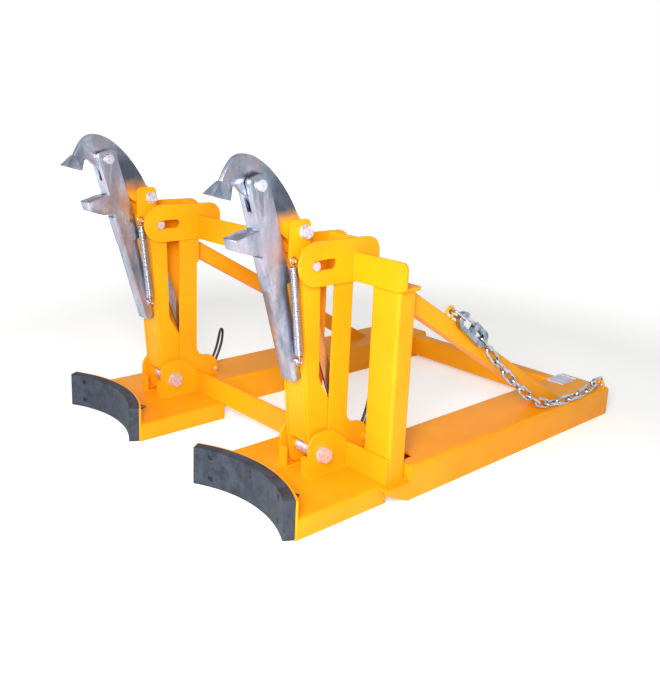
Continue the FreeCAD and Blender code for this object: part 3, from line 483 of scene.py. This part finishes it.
def makeLink(points, name):
    # a ring stretched to the length of this link and turned into its place
    centre = (points.min(axis=0) + points.max(axis=0)) / 2
    # the columns run from the thinnest way to the longest
    axes = np.linalg.eigh(np.cov((points - centre).T))[1]
    along, side = Vector(axes[:, 2]), Vector(axes[:, 1])
    normal = along.cross(side)
    spread = (points - centre) @ np.array([along[:], side[:]]).T
    size = spread.max(axis=0) - spread.min(axis=0)
    # the wide link in the hook's mouth keeps its packed width
    isLong = size[1] > chainLook["longFrom"] * mm
    wire = chainLook["longWire" if isLong else "wire"] * mm
    grow = wire - chainLook["packedWire"] * mm
    length, width = size + (2 * grow, grow + (0 if isLong else chainLook["wider"] * mm))
    centre = centre + np.array((along * (spread[:, 0].max() + spread[:, 0].min()) / 2)[:])
    ring = (width - wire) / 2
    stretch = length / 2 - width / 2
    bpy.ops.object.select_all(action="DESELECT")
    bpy.ops.mesh.primitive_torus_add(major_radius=ring, minor_radius=wire / 2,
                                     major_segments=chainLook["bend"], minor_segments=chainLook["round"],
                                     rotation=(0, 0, math.pi / chainLook["bend"]))
    link = bpy.context.object
    onlySelect(link)
    bpy.ops.object.transform_apply(location=True, rotation=True, scale=True)
    for way in (1, -1):
        pickVertices(link, lambda co: co.x * way > 0)
        bpy.ops.transform.translate(value=(stretch * way, 0, 0))
        bpy.ops.object.mode_set(mode="OBJECT")
    turn = Matrix((along, side, normal)).transposed().to_4x4()
    link.matrix_world = Matrix.Translation(Vector(centre)) @ turn
    return settle(link, name)


links = [makeLink(points, "link%02d" % number) for number, points in enumerate(islandsOf("chain_links"))]
chain = joined(links, "weldedChain")
smoothBy(chain, 60)
dress(chain, "zinc", "frame", "chain_links", finish=chainZinc)
print("chain made:", len(links), "links")


handleLook = {
    "hubDiameter": 25.0, "hubWide": 16.0, "hubRim": 3.0, "hubSides": 40, "rimSegments": 4,
    "rod": 7.0, "studDiameter": 10.0, "studChamfer": 1.2, "studSides": 24,
    # the rod's way up and down again: how far back and how far up from the hub's centre
    "route": [(-3, 6), (5, 27), (18, 56), (25, 84), (28, 99), (32, 106),
              (37, 103), (38, 90), (34, 62), (20, 28), (7, 2)],
}


def makeHandle(side):
    # a hub on the stud and a black dipped rod bent into a long narrow loop
    look = handleLook
    low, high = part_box(side + "_clamp_handle")
    hubY = low.y + look["hubDiameter"] / 2 * mm
    hubZ = low.z + look["hubDiameter"] / 2 * mm
    middleX = low.x + look["hubWide"] / 2 * mm
    bpy.ops.object.select_all(action="DESELECT")
    bpy.ops.curve.primitive_nurbs_path_add()
    rod = bpy.context.object
    curve = rod.data
    curve.splines.clear()
    spline = curve.splines.new("NURBS")
    spline.points.add(len(look["route"]) - 1)
    for point, (alongY, alongZ) in zip(spline.points, look["route"]):
        point.co = (middleX, hubY + alongY * mm, hubZ + alongZ * mm, 1)
    spline.order_u = 3
    spline.use_endpoint_u = True
    spline.resolution_u = 6
    curve.bevel_depth = look["rod"] / 2 * mm
    curve.bevel_resolution = 4
    curve.use_fill_caps = True
    onlySelect(rod)
    bpy.ops.object.convert(target="MESH")
    rod = bpy.context.object
    bpy.ops.object.select_all(action="DESELECT")
    bpy.ops.mesh.primitive_cylinder_add(vertices=look["hubSides"], radius=look["hubDiameter"] / 2 * mm,
                                        depth=look["hubWide"] * mm, location=(middleX, hubY, hubZ),
                                        rotation=(0, math.pi / 2, 0))
    hub = bpy.context.object
    rim = hub.modifiers.new("roundRim", "BEVEL")
    rim.width = look["hubRim"] * mm
    rim.segments = look["rimSegments"]
    rim.limit_method = "ANGLE"
    applyAll(hub)
    handle = joined([hub, rod], side + "DippedHandle")
    smoothBy(handle, 50)
    dress(handle, "black_handle", side + "_handle", side + "_clamp_handle")
    faceX = low.x + look["hubWide"] * mm
    bpy.ops.object.select_all(action="DESELECT")
    bpy.ops.mesh.primitive_cylinder_add(vertices=look["studSides"], radius=look["studDiameter"] / 2 * mm,
                                        depth=high.x - faceX, location=((high.x + faceX) / 2, hubY, hubZ),
                                        rotation=(0, math.pi / 2, 0))
    stud = bpy.context.object
    ends = stud.modifiers.new("chamfer", "BEVEL")
    ends.width = look["studChamfer"] * mm
    ends.limit_method = "ANGLE"
    applyAll(stud)
    settle(stud, side + "HandleStud")
    smoothBy(stud, 35)
    dress(stud, "zinc", side + "_handle")


for side in towers:
    makeHandle(side)
print("handles made")


weldLook = {"radius": 2.6, "step": 3.2, "flat": 0.95, "trim": 3.0, "sides": 8, "rings": 5, "fewest": 3}


def makeWelds(name, lines, body):
    # each seam is a row of flattened drops that overlap like the scales of a weld
    radius, step = weldLook["radius"] * mm, weldLook["step"] * mm
    seams = []
    for start, stop in lines:
        start, stop = Vector(start), Vector(stop)
        run = stop - start
        if run.length < weldLook["fewest"] * step:
            continue
        bpy.ops.object.select_all(action="DESELECT")
        bpy.ops.mesh.primitive_uv_sphere_add(segments=weldLook["sides"], ring_count=weldLook["rings"],
                                             radius=radius)
        seam = bpy.context.object
        seam.scale = (weldLook["flat"], 1, 1)
        onlySelect(seam)
        bpy.ops.object.transform_apply(scale=True)
        row = seam.modifiers.new("row", "ARRAY")
        row.use_relative_offset = False
        row.use_constant_offset = True
        row.count = int((run.length - 2 * radius) / step) + 1
        row.constant_offset_displace = (step, 0, 0)
        applyAll(seam)
        turn = Vector((1, 0, 0)).rotation_difference(run).to_matrix().to_4x4()
        seam.matrix_world = Matrix.Translation(start + run.normalized() * radius) @ turn
        seams.append(seam)
    welds = joined(seams, name)
    smoothBy(welds, 60)
    dress(welds, "yellow_paint", body)


def footSeams(node, z):
    # the two long seams at the foot of an upright plate
    low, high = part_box(node)
    return [((x, low.y, z), (x, high.y, z)) for x in (low.x, high.x)]


def ringSeams(node, z):
    # the seams all round a tube at one height
    low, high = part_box(node)
    corners = [(low.x, low.y, z), (high.x, low.y, z), (high.x, high.y, z), (low.x, high.y, z)]
    return list(zip(corners, corners[1:] + corners[:1]))


def standingSeams(node, xs):
    # upright seams down both faces of a beam where it meets a plate
    low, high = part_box(node)
    trim = weldLook["trim"] * mm
    return [((x, y, low.z + trim), (x, y, high.z - trim)) for x in xs for y in (low.y, high.y)]


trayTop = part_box("right_base_tray")[1].z
seamLines = []
for side in towers:
    for plate in ("_lug_outer", "_lug_inner", "_side_plate_outer", "_side_plate_inner"):
        seamLines += footSeams(side + plate, trayTop)
seamLines += ringSeams("post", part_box("post")[0].z) + ringSeams("post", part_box("post")[1].z)
seamLines += standingSeams("upper_beams", (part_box("right_head_cheek_outer")[1].x,
                                           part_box("right_head_cheek_inner")[0].x,
                                           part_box("left_head_cheek_outer")[1].x))
seamLines += standingSeams("lower_beams", (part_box("right_side_plate_inner")[0].x,
                                           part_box("left_side_plate_inner")[1].x))
seamLines += standingSeams("rear_beam", (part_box("left_channel")[1].x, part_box("right_channel")[0].x))
makeWelds("frameWelds", seamLines, "frame")
print("welds laid:", len(seamLines), "seams")


sleeveLook = {"diameter": 30.8, "wall": 0.8, "clear": 1.5, "sides": 48}
pivots = {joint["name"]: joint["pos_m"] for joint in frame["joints"]}


def makeSleeve(side):
    # the bare ground tube that shows between the two lugs, a thin ring over the painted one
    look = sleeveLook
    lugs = (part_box(side + "_lug_inner"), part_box(side + "_lug_outer"))
    left, right = sorted(lugs, key=lambda pair: pair[0].x)
    start, stop = left[1].x + look["clear"] * mm, right[0].x - look["clear"] * mm
    bpy.ops.object.select_all(action="DESELECT")
    pivotY, pivotZ = pivots[side + "_arm_swing"][1:]
    bpy.ops.mesh.primitive_cylinder_add(vertices=look["sides"], radius=look["diameter"] / 2 * mm,
                                        depth=stop - start, end_fill_type="NOTHING",
                                        location=((start + stop) / 2, pivotY, pivotZ),
                                        rotation=(0, math.pi / 2, 0))
    sleeve = bpy.context.object
    wall = sleeve.modifiers.new("wall", "SOLIDIFY")
    wall.thickness = look["wall"] * mm
    wall.offset = -1
    applyAll(sleeve)
    settle(sleeve, side + "PivotSleeve")
    smoothBy(sleeve, 35)
    dress(sleeve, "zinc", side + "_arm")


for side in towers:
    makeSleeve(side)


lipLook = {
    "wide": 4.5, "proud": 3.0, "sunk": 1.0, "round": 0.8,
    "lowZ": 114.0, "highZ": 248.0, "fromLeft": 2.6, "fromRight": 11.0,
    # a point on the arm's front in millimetres, and how far that front leans back per millimetre down
    "faceY": -409.8, "faceZ": 433.7, "lean": 0.09,
}


def makeLips(side):
    # the two folded lips that run down the arm's front below the lever's tail
    look = lipLook
    low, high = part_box(side + "_arm")
    centreZ = (look["lowZ"] + look["highZ"]) / 2
    centreY = look["faceY"] + look["lean"] * (look["faceZ"] - centreZ) - (look["proud"] - look["sunk"]) / 2
    lips = []
    for centreX in (low.x + look["fromLeft"] * mm, high.x - look["fromRight"] * mm):
        bpy.ops.object.select_all(action="DESELECT")
        bpy.ops.mesh.primitive_cube_add(size=1, location=(centreX, centreY * mm, centreZ * mm),
                                        rotation=(math.atan(look["lean"]), 0, 0))
        lip = bpy.context.object
        lip.scale = (look["wide"] * mm, (look["proud"] + look["sunk"]) * mm,
                     (look["highZ"] - look["lowZ"]) * mm)
        onlySelect(lip)
        bpy.ops.object.transform_apply(location=True, rotation=True, scale=True)
        worn = lip.modifiers.new("worn", "BEVEL")
        worn.width = look["round"] * mm
        worn.segments = 2
        applyAll(lip)
        lips.append(lip)
    piece = joined(lips, side + "ArmLips")
    smoothBy(piece, 35)
    dress(piece, "yellow_paint", side + "_arm")


for side in towers:
    makeLips(side)


endLook = {"thick": 3.0, "inset": 2.5, "round": 1.0, "behindPost": 6.0}


def makeEndPlate():
    # closes the front end of the right channel beside the post, above the foot plate
    look = endLook
    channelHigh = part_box("right_channel")[1]
    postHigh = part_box("post")[1]
    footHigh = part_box("post_foot_plate")[1]
    low = Vector((postHigh.x - look["behindPost"] * mm, postHigh.y, footHigh.z))
    high = Vector((channelHigh.x - look["inset"] * mm, postHigh.y + look["thick"] * mm,
                   channelHigh.z - look["inset"] * mm))
    bpy.ops.object.select_all(action="DESELECT")
    bpy.ops.mesh.primitive_cube_add(size=1, location=(low + high) / 2)
    plate = bpy.context.object
    plate.scale = high - low
    onlySelect(plate)
    bpy.ops.object.transform_apply(location=True, rotation=True, scale=True)
    edges = plate.modifiers.new("edges", "BEVEL")
    edges.width = look["round"] * mm
    edges.segments = 2
    applyAll(plate)
    settle(plate, "channelEndPlate")
    smoothBy(plate, 35)
    dress(plate, "yellow_paint", "frame")


makeEndPlate()
print("sleeves, lips and end plate made")


labelLook = {"length": 76.0, "width": 55.0, "thick": 0.4, "corner": 3.0, "cornerSegments": 6,
             "fromRear": 17.0, "fromLeft": 10.0}


def makeLabel(channel, name):
    # blank film on the top plate near the open end of the fork pocket
    low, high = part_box(channel)
    look = labelLook
    place = Vector((low.x + (look["fromLeft"] + look["width"] / 2) * mm,
                    high.y - (look["fromRear"] + look["length"] / 2) * mm,
                    high.z + look["thick"] * mm / 2))
    bpy.ops.object.select_all(action="DESELECT")
    bpy.ops.mesh.primitive_cube_add(size=1, location=place)
    label = bpy.context.object
    label.scale = (look["width"] * mm, look["length"] * mm, look["thick"] * mm)
    onlySelect(label)
    bpy.ops.object.transform_apply(location=True, rotation=True, scale=True)
    bpy.ops.object.mode_set(mode="EDIT")
    bpy.ops.mesh.select_all(action="DESELECT")
    bpy.ops.object.mode_set(mode="OBJECT")
    for edge in label.data.edges:
        a, b = (label.data.vertices[i].co for i in edge.vertices)
        edge.select = abs(a.z - b.z) > look["thick"] * mm * 0.5
    bpy.ops.object.mode_set(mode="EDIT")
    bpy.ops.mesh.bevel(offset=look["corner"] * mm, segments=look["cornerSegments"], affect="EDGES")
    bpy.ops.object.mode_set(mode="OBJECT")
    settle(label, name)
    dress(label, "yellow_paint", "frame", finish=labelFilm)


makeLabel("left_channel", "leftBlankLabel")
makeLabel("right_channel", "rightBlankLabel")
print("labels placed")


stageLook = {
    "floorSize": 16.0, "floor": "#F2F2F0", "floorRoughness": 0.9,
    # the floor's glow, and how far out from the part it grows to plain white, in metres
    "lift": 0.36, "clearFrom": 1.3, "clearBy": 3.2,
    "sky": 0.38, "panelScale": 1.6, "panelLow": 0.28, "panelHigh": 1.0,
}


def makeStage():
    bpy.ops.object.select_all(action="DESELECT")
    bpy.ops.mesh.primitive_plane_add(size=stageLook["floorSize"], location=(0, 0, 0))
    floor = settle(bpy.context.object, "paleFloor")
    # matt white board that keeps the soft shadow and runs out to plain white
    material, tree, shader, place = newMaterial("paleFloor", {
        "Base Color": linear(stageLook["floor"]), "Roughness": stageLook["floorRoughness"],
        "Emission Color": (1, 1, 1, 1)})
    path = addNode(tree, "ShaderNodeLightPath")
    seen = addNode(tree, "ShaderNodeMath", {"operation": "MAXIMUM"},
                   {0: path.outputs["Is Camera Ray"], 1: path.outputs["Is Glossy Ray"]}).outputs[0]
    away = addNode(tree, "ShaderNodeVectorMath", {"operation": "LENGTH"}, {0: place}).outputs["Value"]
    lift = stepRange(tree, away, stageLook["clearFrom"], stageLook["clearBy"], stageLook["lift"], 1.0)
    shown = addNode(tree, "ShaderNodeMath", {"operation": "MULTIPLY"}, {0: seen, 1: lift}).outputs[0]
    tree.links.new(shown, shader.inputs["Emission Strength"])
    floor.data.materials.append(material)
    world = bpy.data.worlds.new("studio")
    bpy.context.scene.world = world
    world.use_nodes = True
    tree = world.node_tree
    tree.nodes.clear()
    around = addNode(tree, "ShaderNodeTexCoord").outputs["Generated"]
    # the metal sees a white room with a few darker panels
    panels = noiseAt(tree, around, stageLook["panelScale"], 1.0)
    room = stepRange(tree, panels, 0.4, 0.56, stageLook["panelLow"], stageLook["panelHigh"])
    plain = addNode(tree, "ShaderNodeBackground", {"Color": (1, 1, 1, 1), "Strength": stageLook["sky"]})
    mirrored = addNode(tree, "ShaderNodeBackground", {"Color": (1, 1, 1, 1)}, {"Strength": room})
    shown = addNode(tree, "ShaderNodeBackground", {"Color": (1, 1, 1, 1), "Strength": 1.0})
    path = addNode(tree, "ShaderNodeLightPath")
    mix = addNode(tree, "ShaderNodeMixShader",
                  links={0: path.outputs["Is Glossy Ray"], 1: plain.outputs[0], 2: mirrored.outputs[0]})
    mix = addNode(tree, "ShaderNodeMixShader",
                  links={0: path.outputs["Is Camera Ray"], 1: mix.outputs[0], 2: shown.outputs[0]})
    addNode(tree, "ShaderNodeOutputWorld", links={"Surface": mix.outputs[0]})


lampLook = {
    "keyLamp": {"place": (1.42, -1.62, 1.08), "target": (0.2, -0.3, 0.3), "size": 0.8, "power": 50.0},
    "fillLamp": {"place": (-1.2, -2.4, 1.3), "target": (0, -0.3, 0.35), "size": 1.6, "power": 20.0},
}


def addLamp(name, place, target, size, power):
    bpy.ops.object.light_add(type="AREA", location=place)
    lamp = bpy.context.object
    lamp.name = name
    lamp.data.shape = "DISK"
    lamp.data.size = size
    lamp.data.energy = power
    lamp.rotation_euler = (Vector(target) - Vector(place)).to_track_quat("-Z", "Y").to_euler()


cameraLook = {
    "azimuth": 45.9, "elevation": 14.02, "roll": 2.79, "place": (1535.11, -1466.93, 840.81),
    "focalPx": 808.01, "centreX": 345.81, "centreY": 303.81, "frameWidth": 660, "frameHeight": 678,
    "sensorMm": 36,
}


def addCamera():
    # the photograph's own camera, with its middle a little off the picture's middle
    look = cameraLook
    azimuth, elevation, roll = (math.radians(look[key]) for key in ("azimuth", "elevation", "roll"))
    ahead = Vector((-math.sin(azimuth) * math.cos(elevation), math.cos(azimuth) * math.cos(elevation),
                    -math.sin(elevation)))
    right = Vector((math.cos(azimuth), math.sin(azimuth), 0))
    up = right.cross(ahead)
    cameraX = right * math.cos(roll) + up * math.sin(roll)
    cameraY = up * math.cos(roll) - right * math.sin(roll)
    bpy.ops.object.camera_add()
    camera = bpy.context.object
    turn = Matrix((cameraX, cameraY, -ahead)).transposed().to_4x4()
    camera.matrix_world = Matrix.Translation(Vector(look["place"]) * mm) @ turn
    camera.data.sensor_fit = "HORIZONTAL"
    camera.data.sensor_width = look["sensorMm"]
    camera.data.lens = look["focalPx"] / look["frameWidth"] * look["sensorMm"]
    camera.data.shift_x = -(look["centreX"] - look["frameWidth"] / 2) / look["frameWidth"]
    camera.data.shift_y = (look["centreY"] - look["frameHeight"] / 2) / look["frameWidth"]
    bpy.context.scene.camera = camera


makeStage()
for lampName, look in lampLook.items():
    addLamp(lampName, **look)
addCamera()
bpy.context.scene.view_settings.view_transform = "Standard"
print("stage, lamps and camera set")
